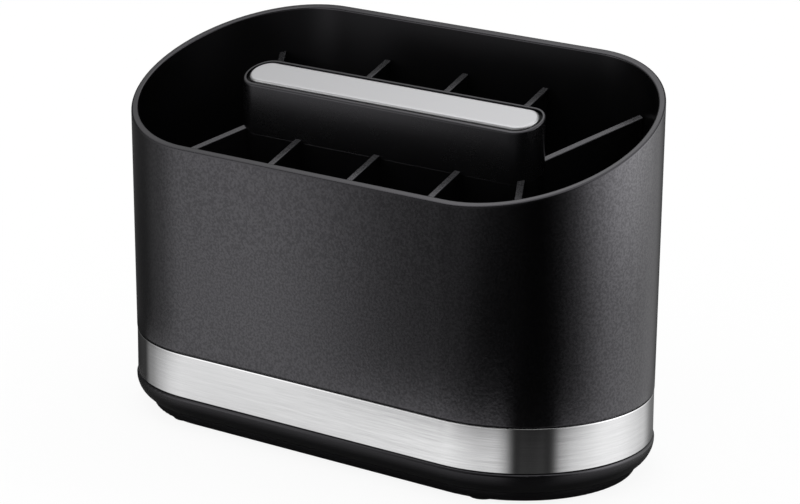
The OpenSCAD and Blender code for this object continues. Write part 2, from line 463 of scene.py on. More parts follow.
class OblongSweep(GrowthTree):
    """Carries a profile round an oblong plan and slants what follows the mouth."""

    def __init__(self) -> None:
        """Builds the tree."""
        super().__init__("oblong_sweep")
        run, radius, seam, guard = self.inputs(
            SocketKind.NUMBER, "Straight run", "Plan radius", "Seam width", "Guard"
        )
        slant, lean, pivot = self.inputs(SocketKind.NUMBER, "Slant", "Lean", "Tilt height")
        ends = self.input("Points per end", SocketKind.COUNT)
        finishes = self.inputs(SocketKind.MATERIAL, "Finish", "Second finish", "Third finish")

        # each half of the plan is a rounded end with two points on both sides of it:
        # a guard point, and the middle of the straight run
        beside = 2
        per_half = ends + 2 * beside
        grid, column, row = self.copies(per_half * 2)
        half = (column / per_half).call("FLOOR")
        side = half * 2 - 1
        share = (column - half * per_half - beside) / (ends - 1)
        turn = share.call("MAXIMUM", 0.0).call("MINIMUM", 1.0)
        over = ((share - turn) * (ends - 1)).call("ROUND")
        at_seam = (over * side).call("GREATER_THAN", beside - 0.5)
        gap = seam * 0.5 * at_seam
        beyond = over.call("ABSOLUTE")
        back = beyond.call("MINIMUM", 1.0) * guard
        back = back + (beyond - 1).call("MAXIMUM", 0.0) * (run * 0.5 - gap - guard)
        angle = (half + turn + 0.5) * math.pi
        centre = side * (run * 0.5 - back)
        arc = radius * math.pi
        along = run * 0.5 + half * (arc + run) + turn * arc + over.call("SIGN") * back

        # upright pieces keep their plan and rise with the mouth; tilted ones turn about the pivot
        out, _, up = self.profile_place(row)
        ride = self.sample(self.attribute("ride"), row)
        tilt = self.sample(self.attribute("tilt"), row)
        rise = slant.call("TANGENT") * angle.call("SINE")
        lift = ride * out * rise / (1 - lean * rise)
        wide = out + lift * lean
        upright_y = wide * angle.call("SINE")
        upright_z = up + lift
        level = up - pivot
        across = out * angle.call("SINE")
        tilted_y = across * slant.call("COSINE") - level * slant.call("SINE")
        tilted_z = pivot + across * slant.call("SINE") + level * slant.call("COSINE")
        place = self.vector(
            centre + wide * angle.call("COSINE"),
            upright_y + tilt * (tilted_y - upright_y),
            upright_z + tilt * (tilted_z - upright_z),
        )
        girth, coat = (self.sample(self.attribute(name), row) for name in ("girth", "coat"))
        swept = self.store(grid, {"way": along, "girth": girth, "coat": coat})
        surface = self.vector(self.attribute("way"), self.attribute("girth"), 0.0)
        swept = self.store(swept, {"along": surface}, "FLOAT2", "CORNER")
        self.end(swept, place, *finishes)


class DividerWalls(GrowthTree):
    """Repeats a wall's cross-section as all the cross walls and diagonal walls."""

    def __init__(self) -> None:
        """Builds the tree."""
        super().__init__("divider_walls")
        count = self.input("Walls per side", SocketKind.COUNT)
        pitch, run, diagonal, start, reach = self.inputs(
            SocketKind.NUMBER, "Pitch", "Straight run", "Diagonal angle", "Start", "Reach at the mouth"
        )
        mouth, floor, bevel, slant, lean = self.inputs(
            SocketKind.NUMBER, "Mouth height", "Floor height", "Foot bevel", "Slant", "Lean"
        )
        finishes = self.inputs(SocketKind.MATERIAL, "Finish", "Top finish")

        # a wall has its cross-section at the spine and at the tip
        wall, tip, row = self.copies(2)
        across, _, up = self.profile_place(row)
        ride, coat = (self.sample(self.attribute(name), row) for name in ("ride", "coat"))
        wall = self.store(wall, {"tip": tip, "across": across, "up": up, "ride": ride, "coat": coat})
        diagonals = 4
        points = self.use("GeometryNodeMeshLine", "Mesh", {"Count": count * 2 + diagonals})
        points = self.store(points, {"wall": self.index()})
        inputs = {"Points": points, "Instance": wall}
        walls = self.use("GeometryNodeInstanceOnPoints", "Instances", inputs)
        walls = self.use("GeometryNodeRealizeInstances", "Geometry", {"Geometry": walls})

        # walls are numbered in pairs, front and rear; the last two pairs are the diagonal ones
        number = self.attribute("wall")
        at_end = number.call("GREATER_THAN", count * 2 - 0.5)
        pair = ((number + 0.5) / 2).call("FLOOR")
        side = (number - pair * 2) * 2 - 1
        hand = ((pair - count) * 2 - 1).call("SIGN")
        cross_x = (pair - (count - 1) * 0.5) * pitch
        origin = cross_x + at_end * (hand * run * 0.5 - cross_x)
        aim = side * (math.pi / 2 - at_end * hand * (math.pi / 2 - diagonal))
        ride, up, across = (self.attribute(name) for name in ("ride", "up", "across"))
        rise = ride * slant.call("TANGENT")
        rough = reach - (mouth - up) * lean
        height = up + rise * rough * aim.call("SINE")
        foot = (floor + bevel - up).call("MAXIMUM", 0.0)
        full = reach - (mouth - height) * lean - foot
        length = start + self.attribute("tip") * (full - start)
        x = origin + length * aim.call("COSINE") - across * aim.call("SINE")
        y = length * aim.call("SINE") + across * aim.call("COSINE")
        self.end(walls, self.vector(x, y, up + rise * y), *finishes)


def finished_mesh(meshes: Sequence[Mesh], name: str) -> Mesh:
    """Joins grown meshes into one closed mesh with its faces outwards.

    Args:
        meshes: grown meshes, which are used up.
        name: name of the new mesh.

    Returns:
        The mesh, smooth but for its sharp edges.
    """
    whole = bpy.data.meshes.new(name)
    shape = bmesh.new()
    for mesh in meshes:
        shape.from_mesh(mesh)
    bmesh.ops.dissolve_degenerate(shape, edges=shape.edges, dist=SLIVER)
    bmesh.ops.holes_fill(shape, edges=[edge for edge in shape.edges if edge.is_boundary], sides=0)
    bmesh.ops.recalc_face_normals(shape, faces=shape.faces)
    for face in shape.faces:
        face.smooth = True
    shape.to_mesh(whole)
    shape.free()
    for material in meshes[0].materials:
        whole.materials.append(material)
    for mesh in meshes:
        bpy.data.meshes.remove(mesh)
    whole.set_sharp_from_angle(angle=SHARP_ANGLE)
    return whole


def add_piece(mesh: Mesh, body: str, node: str) -> None:
    """Puts a finished mesh in the scene in place of a solid.

    Args:
        mesh: the piece's mesh, in the frame of the solids.
        body: body that the piece rides on.
        node: solid that it stands for.
    """
    piece = add_object(mesh.name, mesh)
    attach(piece, body)
    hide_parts(node)
    log.info("%s stands for %s: %d faces", piece.name, node, len(mesh.polygons))


class ShaderTree(NodeTree):
    """The tree of a new material or world, with what finishes and lamps share."""

    def __init__(self, owner: Material | World) -> None:
        """Empties the owner's tree.

        Args:
            owner: the new material or world.
        """
        owner.use_nodes = True
        owner.node_tree.nodes.clear()
        super().__init__(owner.node_tree)

    def show(self, shader: Field, output: str = "ShaderNodeOutputMaterial") -> None:
        """Links a shader to the tree's output."""
        self.add(output, {"Surface": shader})

    def place(self) -> Field:
        """Object coordinates, in metres."""
        return self.use("ShaderNodeTexCoord", "Object")

    def ray(self, kind: str) -> Field:
        """Whether a ray is of a kind, such as Is Camera Ray."""
        return self.use("ShaderNodeLightPath", kind)

    def ramp(self, value: Field, to: Pair, start: float = 0.0, end: float = 1.0) -> Field:
        """Spreads a value between start and end over a new range, and holds it there."""
        inputs = {"Value": value, "From Min": start, "From Max": end, "To Min": to[0], "To Max": to[1]}
        return self.use("ShaderNodeMapRange", "Result", inputs, clamp=True)

    def fade(self, value: Field, start: float, end: float) -> Field:
        """Rises from 0 at the start to 1 at the end."""
        return self.ramp(value, (0.0, 1.0), start, end)

    def noise(self, place: Field, size: float, detail: float) -> Field:
        """Noise from 0 to 1, with grains of a size that break up by the detail."""
        inputs = {"Vector": place, "Scale": 1.0 / size, "Detail": detail}
        return self.use("ShaderNodeTexNoise", "Fac", inputs)

    def tint(self, value: Field, dark: Colour, light: Colour) -> Field:
        """Goes from one colour to another.

        Args:
            value: field from 0 to 1.
            dark: colour at 0.
            light: colour at 1.

        Returns:
            The colour as a field.
        """
        node = self.add("ShaderNodeMix", {"Factor": value}, data_type="RGBA")
        colours = [socket for socket in node.inputs if socket.type == "RGBA"]
        for socket, colour in zip(colours, (dark, light)):
            socket.default_value = (*colour, 1.0)
        return Field(self, next(socket for socket in node.outputs if socket.type == "RGBA"))

    def bump(self, height: Field, depth: float, strength: float) -> Field:
        """Turns a height from 0 to 1 into the normal of a relief."""
        inputs = {"Height": height, "Distance": depth, "Strength": strength}
        return self.use("ShaderNodeBump", "Normal", inputs)


class Finish:
    """A surface finish that makes its own material.

    Attributes:
        name: the material's name.
    """

    name: str

    def material(self) -> Material:
        """Makes the material, unless it is there.

        Returns:
            The material.
        """
        made = bpy.data.materials.get(self.name)
        if made is None:
            made = bpy.data.materials.new(self.name)
            tree = ShaderTree(made)
            tree.show(tree.use("ShaderNodeBsdfPrincipled", "BSDF", self.surface(tree)))
        return made

    def surface(self, tree: ShaderTree) -> Inputs:
        """Works out the shader's inputs; each finish has its own way.

        Args:
            tree: the material's tree.

        Returns:
            Fields and constants, by the input's name.
        """
        raise NotImplementedError


@dataclass(frozen=True)
class BlackMoulding(Finish):
    """Black plastic, as it comes out of a tool.

    Attributes:
        colour: colour of the plastic.
    """

    name: str
    colour: Colour

    def shades(self) -> tuple[Colour, Colour]:
        """The darkest and the lightest shade of the plastic."""
        return tuple(tuple(shade * part for part in self.colour) for shade in SHADES)


@dataclass(frozen=True)
class MouldedGrain(BlackMoulding):
    """Black moulding with a fine matt grain.

    Attributes:
        roughness: lowest and highest roughness.
        gloss: specular level.
        grain: size of a grain.
        pits: pits to a grain, along a line.
        softness: how soft the pits' edges are.
        coarse: share of the grain in the relief; the pits have the rest.
        depth: depth of the relief.
        relief: how strongly the relief shows.
        dullness: how much less the low places mirror.
        edge: noise between which low places give way to high ones.
        cloud: size of the clouds in the colour.
        clouded: share of the clouds in the colour; the grain has the rest.
    """

    name: str = "moulded_grain"
    colour: Colour = (0.0018, 0.0018, 0.002)
    roughness: Pair = (0.14, 0.21)
    gloss: float = 0.85
    grain: float = 0.95 * MM
    pits: float = 0.7
    softness: float = 0.6
    coarse: float = 0.6
    depth: float = 0.1 * MM
    relief: float = 0.2
    dullness: float = 0.32
    edge: Pair = (0.4, 0.6)
    cloud: float = 30 * MM
    clouded: float = 0.5

    def surface(self, tree: ShaderTree) -> Inputs:
        """Works out the shader's inputs.

        Args:
            tree: the material's tree.

        Returns:
            Fields and constants, by the input's name.
        """
        place = tree.place()
        grain = tree.noise(place, self.grain, detail=3.0)
        cells = {"Vector": place, "Scale": self.pits / self.grain, "Smoothness": self.softness}
        pits = tree.use("ShaderNodeTexVoronoi", "Distance", cells, feature="SMOOTH_F1")
        height = grain.mixed(pits, self.coarse)
        cloud = tree.noise(place, self.cloud, detail=2.0)
        return {
            "Base Color": tree.tint(cloud.mixed(grain, self.clouded), *self.shades()),
            "Roughness": tree.ramp(height, self.roughness),
            "Metallic": tree.ramp(grain, (self.dullness, 0.0), *self.edge),
            "Specular IOR Level": self.gloss,
            "Specular Tint": COOL_GLOSS,
            "Normal": tree.bump(height, self.depth, self.relief),
        }


@dataclass(frozen=True)
class SmoothMoulding(BlackMoulding):
    """Black moulding from a tool with a mirror finish, with a faint swirl in its gloss.

    Attributes:
        roughness: lowest and highest roughness.
        gloss: specular level.
        swirl: size of the swirl.
        swirled: share of the swirl in the roughness; the marks have the rest.
        mark: size of the tool's fine marks.
        depth: depth of the marks.
        relief: how strongly the marks show.
    """

    name: str = "smooth_moulding"
    colour: Colour = (0.0034, 0.0034, 0.0037)
    roughness: Pair = (0.2, 0.28)
    gloss: float = 0.5
    swirl: float = 14 * MM
    swirled: float = 0.6
    mark: float = 0.5 * MM
    depth: float = 0.02 * MM
    relief: float = 0.15

    def surface(self, tree: ShaderTree) -> Inputs:
        """Works out the shader's inputs.

        Args:
            tree: the material's tree.

        Returns:
            Fields and constants, by the input's name.
        """
        place = tree.place()
        swirl = tree.noise(place, self.swirl, detail=3.0)
        marks = tree.noise(place, self.mark, detail=2.0)
        return {
            "Base Color": tree.tint(swirl, *self.shades()),
            "Roughness": tree.ramp(swirl.mixed(marks, self.swirled), self.roughness),
            "Specular IOR Level": self.gloss,
            "Specular Tint": COOL_GLOSS,
            "Normal": tree.bump(marks, self.depth, self.relief),
        }


@dataclass(frozen=True)
class BrushedSteel(Finish):
    """Stainless steel brushed along the piece.

    Attributes:
        dark: colour in the deepest strokes.
        light: colour between the strokes.
        roughness: roughness in the deepest strokes and between them.
        grain: how much wider the gloss is across the strokes.
        stroke: length and width of a fine stroke.
        broad: broad strokes to a fine one, along a line.
        fine: share of the fine strokes; the broad ones have the rest.
        edge: noise between which strokes go from dark to light.
        depth: depth of the strokes.
        relief: how strongly the strokes show.
        wrapped: whether strokes follow the path round the plan or run along X.
    """

    name: str = "brushed_steel"
    dark: Colour = (0.54, 0.54, 0.545)
    light: Colour = (0.62, 0.62, 0.625)
    roughness: Pair = (0.17, 0.1)
    grain: float = 0.7
    stroke: Pair = (14 * MM, 0.28 * MM)
    broad: float = 0.22
    fine: float = 0.65
    edge: Pair = (0.3, 0.7)
    depth: float = 0.01 * MM
    relief: float = 0.12
    wrapped: bool = True

    def surface(self, tree: ShaderTree) -> Inputs:
        """Works out the shader's inputs.

        Args:
            tree: the material's tree.

        Returns:
            Fields and constants, by the input's name.
        """
        place = tree.use("ShaderNodeUVMap", "UV", uv_map="along") if self.wrapped else tree.place()
        across = (0.0, 0.0, 1.0) if self.wrapped else (0.0, 1.0, 0.0)
        length, width = self.stroke
        squeezed = {"Vector": place, "Scale": (1 / length, 1 / width, 1 / width)}
        strokes_at = tree.use("ShaderNodeMapping", "Vector", squeezed)
        fine = tree.noise(strokes_at, 1.0, detail=4.0)
        broad = tree.noise(strokes_at, 1.0 / self.broad, detail=2.0)
        strokes = fine.mixed(broad, self.fine)
        sharp = tree.fade(strokes, *self.edge)
        return {
            "Base Color": tree.tint(sharp, self.dark, self.light),
            "Roughness": tree.ramp(sharp, self.roughness),
            "Metallic": 1.0,
            "Anisotropic": self.grain,
            "Tangent": tree.vector(*across),
            "Normal": tree.bump(strokes, self.depth, self.relief),
        }


@dataclass(frozen=True)
class Speckled(Finish):
    """A surface with fine specks: dull rubber, if nothing else is said.

    Attributes:
        dark: colour of the specks.
        light: colour between them.
        speck: size of a speck.
        roughness: roughness of the specks and between them.
        depth: depth of the relief.
        relief: how strongly the relief shows.
        detail: how finely the specks break up.
        metal: 1 for bare metal, or else 0.
    """

    name: str = "foot_rubber"
    dark: Colour = (0.008, 0.008, 0.008)
    light: Colour = (0.016, 0.016, 0.016)
    speck: float = 0.5 * MM
    roughness: Pair = (0.9, 0.7)
    depth: float = 0.06 * MM
    relief: float = 0.4
    detail: float = 4.0
    metal: float = 0.0

    def surface(self, tree: ShaderTree) -> Inputs:
        """Works out the shader's inputs.

        Args:
            tree: the material's tree.

        Returns:
            Fields and constants, by the input's name.
        """
        specks = tree.noise(tree.place(), self.speck, self.detail)
        return {
            "Base Color": tree.tint(specks, self.dark, self.light),
            "Roughness": tree.ramp(specks, self.roughness),
            "Metallic": self.metal,
            "Normal": tree.bump(specks, self.depth, self.relief),
        }


@dataclass(frozen=True)
class PlatedSteel(Speckled):
    """Zinc-plated screw steel with a mottled grain."""

    name: str = "screw_steel"
    dark: Colour = (0.34, 0.34, 0.36)
    light: Colour = (0.52, 0.52, 0.53)
    speck: float = 0.7 * MM
    roughness: Pair = (0.42, 0.26)
    depth: float = 0.02 * MM
    relief: float = 0.2
    detail: float = 3.0
    metal: float = 1.0


def dress_solid(frame: dict, node: str, finish: Finish) -> None:
    """Gives a solid that stays in view its material.

    Args:
        frame: the loaded frame.
        node: name of the solid.
        finish: finish that it gets.
    """
    solid = frame["nodes"][node]
    solid.data.materials.clear()
    solid.data.materials.append(finish.material())
    log.info("%s keeps its solid, in %s", node, finish.name)


@dataclass(frozen=True)
class Form:
    """Sizes that the sub-assemblies share, as in the solids.

    Attributes:
        run: straight run of the plan.
        half_width: half the width over the rim, at the middle of its slant.
        front: height of the rim at the front.
        slant: slant of the mouth.
        lean: how far the wall leans in, over its height.
        wall: thickness of the shell's wall.
        floor: height of the shell's floor.
        floor_turn: radius between floor and wall.
        shoulder: height of the shell's lower edge, above the band.
        end_points: points in each rounded end.
        guard: distance of the extra points that keep shading flat beside the ends.
    """

    run: float = 130 * MM
    half_width: float = 55 * MM
    front: float = 120 * MM
    slant: float = math.radians(20)
    lean: float = 0.011
    wall: float = 2.9 * MM
    floor: float = 16.4 * MM
    floor_turn: float = 4 * MM
    shoulder: float = 33.05 * MM
    end_points: int = 57
    guard: float = 1.5 * MM

    @property
    def mouth(self) -> float:
        """Height of the mouth at the middle of its slant."""
        return self.front + self.half_width * math.tan(self.slant)

    def outside(self, up: float) -> float:
        """Outer radius of the shell at a height."""
        return self.half_width - (self.mouth - up) * self.lean

    def inside(self, up: float) -> float:
        """Inner radius of the shell at a height."""
        return self.outside(up) - self.wall


@dataclass(frozen=True)
class SubAssembly:
    """Pieces that move as one, most of them carried round the plan.

    Attributes:
        form: shared sizes.
        sweep: tree that carries profiles round the plan.
    """

    form: Form
    sweep: OblongSweep

    def carry(self, profile: Profile, radius: float, finishes: Sequence[Finish], changes: Inputs) -> Mesh:
        """Carries a profile round the plan.

        Args:
            profile: line to carry.
            radius: radius that the surface coordinates are measured at.
            finishes: one to three finishes; the last one fills the places left.
            changes: inputs of the tree that this piece has its own values for.

        Returns:
            The grown mesh.
        """
        form = self.form
        first, second, third = (*finishes, finishes[-1], finishes[-1])[:3]
        usual = {
            "Straight run": form.run,
            "Plan radius": radius,
            "Seam width": 0.0,
            "Guard": form.guard,
            "Points per end": form.end_points,
            "Slant": form.slant,
            "Lean": 0.0,
            "Tilt height": form.mouth,
            "Finish": first.material(),
            "Second finish": second.material(),
            "Third finish": third.material(),
        }
        return self.sweep.grow(profile, usual | changes)


@dataclass(frozen=True)
class Bin(SubAssembly):
    """The fixed part: shell, steel band, base and feet.

    Attributes:
        rim_outer: radius of the rim's outer edge.
        rim_inner: radius of the rim's inner edge.
        skirt: radii of the shell's hidden skirt, inside and outside.
        skirt_up: heights of the skirt's foot and of the floor's underside.
        shoulder_turn: radius of the shell's lower edge.
        band: inner and outer radius of the band.
        band_up: lower and upper edge of the band.
        band_turn: radius of the band's edges.
        band_seam: width of the butt seam at the rear.
        band_edge: height of the strip along the band's upper edge that carries a painted highlight.
        outer_finish: finish of the outer wall.
        rim_finish: finish of the rim.
        inner_finish: finish of the inside.
        base_finish: finish of the base.
        steel: finish of the band.
        edge_highlight: finish of the band's upper edge: steel in a much lighter colour, which is a painted
            highlight.
    """

    rim_outer: float = 0.8 * MM
    rim_inner: float = 0.7 * MM
    skirt: Pair = (50.523 * MM, 52.923 * MM)
    skirt_up: Pair = (11.5 * MM, 13.8 * MM)
    shoulder_turn: float = 1.1 * MM
    band: Pair = (53.073 * MM, 53.673 * MM)
    band_up: Pair = (14.6 * MM, 32.9 * MM)
    band_turn: float = 0.15 * MM
    band_seam: float = 0.4 * MM
    band_edge: float = 0.45 * MM
    outer_finish: Finish = MouldedGrain()
    rim_finish: Finish = SmoothMoulding("rim_moulding", roughness=(0.18, 0.24), gloss=0.75)
    inner_finish: Finish = SmoothMoulding("inner_moulding", roughness=(0.26, 0.34), gloss=0.22)
    base_finish: Finish = SmoothMoulding("satin_base", roughness=(0.2, 0.26), gloss=0.6)
    steel: Finish = BrushedSteel()
    # painted highlight: steel much lighter than the band, which stands in for the light caught by its
    # upper edge
    edge_highlight: Finish = BrushedSteel(
        "band_edge_painted_highlight", dark=(0.86, 0.86, 0.865), light=(0.94, 0.94, 0.945), roughness=(0.14, 0.1)
    )

    def build(self, frame: dict) -> None:
        """Builds and dresses the fixed part.

        Args:
            frame: the loaded frame.
        """
        self.build_shell()
        self.build_band()
        dress_solid(frame, "base_tray", self.base_finish)
        dress_solid(frame, "base_screws", PlatedSteel())
        for corner in ("front_left", "front_right", "rear_left", "rear_right"):
            dress_solid(frame, f"foot_{corner}", Speckled())

    def build_shell(self) -> None:
        """Builds the shell with its rounded rim and its floor."""
        form = self.form
        top = form.mouth
        foot = form.floor + form.floor_turn
        line = (
            Corner(0.0, self.skirt_up[1]),
            Corner(self.skirt[0], self.skirt_up[1]),
            Corner(self.skirt[0], self.skirt_up[0]),
            Corner(self.skirt[1], self.skirt_up[0]),
            Corner(self.skirt[1], form.shoulder),
            Corner(form.outside(form.shoulder), form.shoulder, turn=self.shoulder_turn),
            Corner(form.outside(top), top, Follow.SLANTED, self.rim_outer, 1),
            Corner(form.inside(top), top, Follow.SLANTED, self.rim_inner, 1),
            Corner(form.inside(foot), form.floor, turn=form.floor_turn, coat=2),
            Corner(0.0, form.floor, coat=2),
        )
        finishes = (self.outer_finish, self.rim_finish, self.inner_finish)
        shell = self.carry(Profile(line), form.half_width, finishes, {"Lean": form.lean})
        add_piece(finished_mesh([shell], "shell"), "holder", "outer_shell")

    def build_band(self) -> None:
        """Builds the steel band, with its seam at the rear."""
        inner, outer = self.band
        low, high = self.band_up
        line = (
            Corner(inner, low),
            Corner(outer, low, turn=self.band_turn),
            # the strip along the upper edge takes the second finish, which carries a painted highlight
            Corner(outer, high - self.band_edge, coat=1),
            Corner(outer, high, turn=self.band_turn, coat=1),
            Corner(inner, high, coat=1),
        )
        finishes, seam = (self.steel, self.edge_highlight), {"Seam width": self.band_seam}
        band = self.carry(Profile(line, closed=True), outer, finishes, seam)
        add_piece(finished_mesh([band], "band"), "holder", "steel_band")


@dataclass(frozen=True)
class Insert(SubAssembly):
    """The lift-out part: dividers, spine, handle and its steel plate.

    Attributes:
        walls: tree that repeats the divider walls.
        wall_count: cross walls on each long side.
        pitch: distance between cross walls.
        diagonal: angle of the diagonal walls from the long axis.
        half_top: half the thickness of a wall at the mouth's height.
        half_foot: half the thickness of a wall at the floor.
        wall_turn: radius of a wall's top edges.
        drop: depth of the wall tops below the mouth.
        gap: clearance between walls and shell.
        handle_run: straight run of the handle.
        spine: inner and outer radius of the spine.
        spine_turn: radius of the spine's top edge.
        plug: inner and outer radius of the plug on the spine.
        seam: depth of the handle's lower edge below the mouth.
        deck: depths of the plug's top and of its underside.
        handle: inner and outer radius of the handle.
        rim: height of the handle's rim above the mouth.
        pocket: radius and upright depth of the plate's pocket.
        hollow: depth of the handle's hollow below the mouth.
        handle_turns: radii of the handle's lower edge, its rim and its pocket's edge.
        plate_run: straight run of the plate.
        plate: outer radius and sheet thickness of the plate.
        plate_proud: how far the plate stands above the rim.
        plate_turn: radius of the plate's rolled edge.
        plate_steps: straight pieces in the rolled edge.
        plate_foot: depth of the plate's edge below the rim.
        moulding: finish of dividers and spine.
        lit_wall_top: finish of the divider tops: a rougher grain, in a colour many times lighter than the
            rest of the moulding, which is painted light that makes the tops read as lit.
        grip: finish of the handle's sides.
        grip_rim: finish of the handle's rim.
        shaded_pocket_finish: finish of the plate's pocket, nearly without gloss: painted shade that keeps
            the groove round the plate dark.
        steel: finish of the plate.
        foam: finish of the adhesive pad.
    """

    walls: DividerWalls
    wall_count: int = 3
    pitch: float = 40 * MM
    diagonal: float = math.radians(60)
    half_top: float = 1.4 * MM
    half_foot: float = 1.7 * MM
    wall_turn: float = 0.3 * MM
    drop: float = 17.8 * MM
    gap: float = 0.8 * MM
    handle_run: float = 128.4 * MM
    spine: Pair = (6.8 * MM, 8.8 * MM)
    spine_turn: float = 0.25 * MM
    plug: Pair = (5.15 * MM, 7.15 * MM)
    seam: float = 19.3 * MM
    deck: Pair = (10.3 * MM, 12.43 * MM)
    handle: Pair = (7.3 * MM, 9.2 * MM)
    rim: float = 1.7 * MM
    pocket: Pair = (7.978 * MM, 1.277 * MM)
    hollow: float = 1.777 * MM
    handle_turns: tuple[float, float, float] = (0.3 * MM, 0.7 * MM, 0.12 * MM)
    plate_run: float = 127.2 * MM
    plate: Pair = (7.3 * MM, 0.8 * MM)
    plate_proud: float = 0.5 * MM
    plate_turn: float = 1.2 * MM
    plate_steps: int = 8
    plate_foot: float = 1.05 * MM
    moulding: Finish = SmoothMoulding("divider_moulding", roughness=(0.2, 0.26), gloss=0.75)
    # painted light: the divider tops are the same black plastic in a colour many times lighter, so that
    # they read as lit
    lit_wall_top: Finish = MouldedGrain(
        "divider_top_painted_light", (0.045, 0.045, 0.047), (0.2, 0.3), gloss=0.75, grain=0.6 * MM
    )
    grip: Finish = SmoothMoulding("handle_moulding", roughness=(0.24, 0.3), gloss=0.55)
    grip_rim: Finish = SmoothMoulding("handle_rim", roughness=(0.18, 0.24), gloss=0.75)
    # painted shade: the pocket is the handle's black plastic with almost no gloss, so that the groove
    # round the plate reads dark
    shaded_pocket_finish: Finish = SmoothMoulding("pocket_painted_shade", roughness=(0.3, 0.4), gloss=0.06)
    steel: Finish = BrushedSteel(
        "plate_steel", (0.52, 0.52, 0.525), (0.6, 0.6, 0.605), (0.15, 0.1), grain=0.3,
        stroke=(16 * MM, 0.22 * MM), wrapped=False,
    )
    foam: Finish = Speckled("pad_foam", (0.55, 0.54, 0.5), (0.72, 0.71, 0.67), 0.8 * MM)

    def build(self, frame: dict) -> None:
        """Builds and dresses the lift-out part.

        Args:
            frame: the loaded frame.
        """
        mesh = finished_mesh([self.grow_walls(), self.grow_spine()], "dividers")
        add_piece(mesh, "insert", "divider_insert")
        self.build_handle()
        self.build_plate()
        dress_solid(frame, "handle_screws", PlatedSteel())
        dress_solid(frame, "plate_adhesive_pad", self.foam)

    def grow_walls(self) -> Mesh:
        """Grows the divider walls.

        Returns:
            All the walls as one mesh.
        """
        form = self.form
        top = form.mouth - self.drop
        bevel = form.floor_turn + self.gap
        share = self.drop / (form.mouth - form.floor)
        head = self.half_top + (self.half_foot - self.half_top) * share
        section = (
            Corner(-self.half_foot, form.floor),
            Corner(-self.half_foot, form.floor + bevel),
            Corner(-head, top, Follow.SLANTED, self.wall_turn, 1),
            Corner(head, top, Follow.SLANTED, self.wall_turn, 1),
            Corner(self.half_foot, form.floor + bevel),
            Corner(self.half_foot, form.floor),
        )
        values = {
            "Walls per side": self.wall_count,
            "Pitch": self.pitch,
            "Straight run": form.run,
            "Diagonal angle": self.diagonal,
            "Start": (self.spine[0] + self.spine[1]) / 2,
            "Reach at the mouth": form.inside(form.mouth) - self.gap,
            "Mouth height": form.mouth,
            "Floor height": form.floor,
            "Foot bevel": bevel,
            "Slant": form.slant,
            "Lean": form.lean,
            "Finish": self.moulding.material(),
            "Top finish": self.lit_wall_top.material(),
        }
        return self.walls.grow(Profile(section, closed=True), values)

    def grow_spine(self) -> Mesh:
        """Grows the hollow spine, with the plug that the handle sits on.

        Returns:
            The spine.
        """
        form = self.form
        slanted = Follow.SLANTED
        deck, under = (form.mouth - depth for depth in self.deck)
        step = form.mouth - self.seam
        ledge = step - (self.spine[1] - self.spine[0])
        line = (
            Corner(0.0, under, slanted),
            Corner(self.plug[0], under, slanted),
            Corner(self.plug[0], ledge, slanted),
            Corner(self.spine[0], ledge, slanted),
            Corner(self.spine[0], form.floor),
            Corner(self.spine[1], form.floor),
            Corner(self.spine[1], step, slanted, self.spine_turn),
            Corner(self.plug[1], step, slanted),
            Corner(self.plug[1], deck, slanted),
            Corner(0.0, deck, slanted),
        )
        return self.carry(Profile(line), self.spine[1], [self.moulding], {"Straight run": self.handle_run})

    def build_handle(self) -> None:
        """Builds the handle with the pocket for its plate."""
        form = self.form
        slanted = Follow.SLANTED
        inner, outer = self.handle
        hollow, foot, rim = form.mouth - self.hollow, form.mouth - self.seam, form.mouth + self.rim
        radius, depth = self.pocket
        foot_turn, rim_turn, pocket_turn = self.handle_turns
        line = (
            Corner(0.0, hollow, slanted),
            Corner(inner, hollow, slanted),
            Corner(inner, foot, slanted),
            Corner(outer, foot, slanted, foot_turn),
            Corner(outer, rim, slanted, rim_turn, 1),
            Corner(radius, rim, slanted, pocket_turn, 1),
            Corner(radius, rim - depth, slanted, coat=2),
            Corner(0.0, rim - depth, slanted, coat=2),
        )
        finishes = (self.grip, self.grip_rim, self.shaded_pocket_finish)
        handle = self.carry(Profile(line), outer, finishes, {"Straight run": self.handle_run})
        add_piece(finished_mesh([handle], "handle"), "insert", "handle_shell")

    def build_plate(self) -> None:
        """Builds the stamped steel plate with its rolled edge."""
        tilted = Follow.TILTED
        rim = self.form.mouth + self.rim
        radius, sheet = self.plate
        top, foot = rim + self.plate_proud, rim - self.plate_foot
        line = (
            Corner(0.0, top - sheet, tilted),
            Corner(radius - sheet, top - sheet, tilted),
            Corner(radius - sheet, foot, tilted),
            Corner(radius, foot, tilted),
            Corner(radius, top, tilted, self.plate_turn),
            Corner(0.0, top, tilted),
        )
        changes = {"Straight run": self.plate_run, "Tilt height": rim}
        plate = self.carry(Profile(line, steps=self.plate_steps), radius, [self.steel], changes)
        add_piece(finished_mesh([plate], "plate"), "insert", "handle_plate")


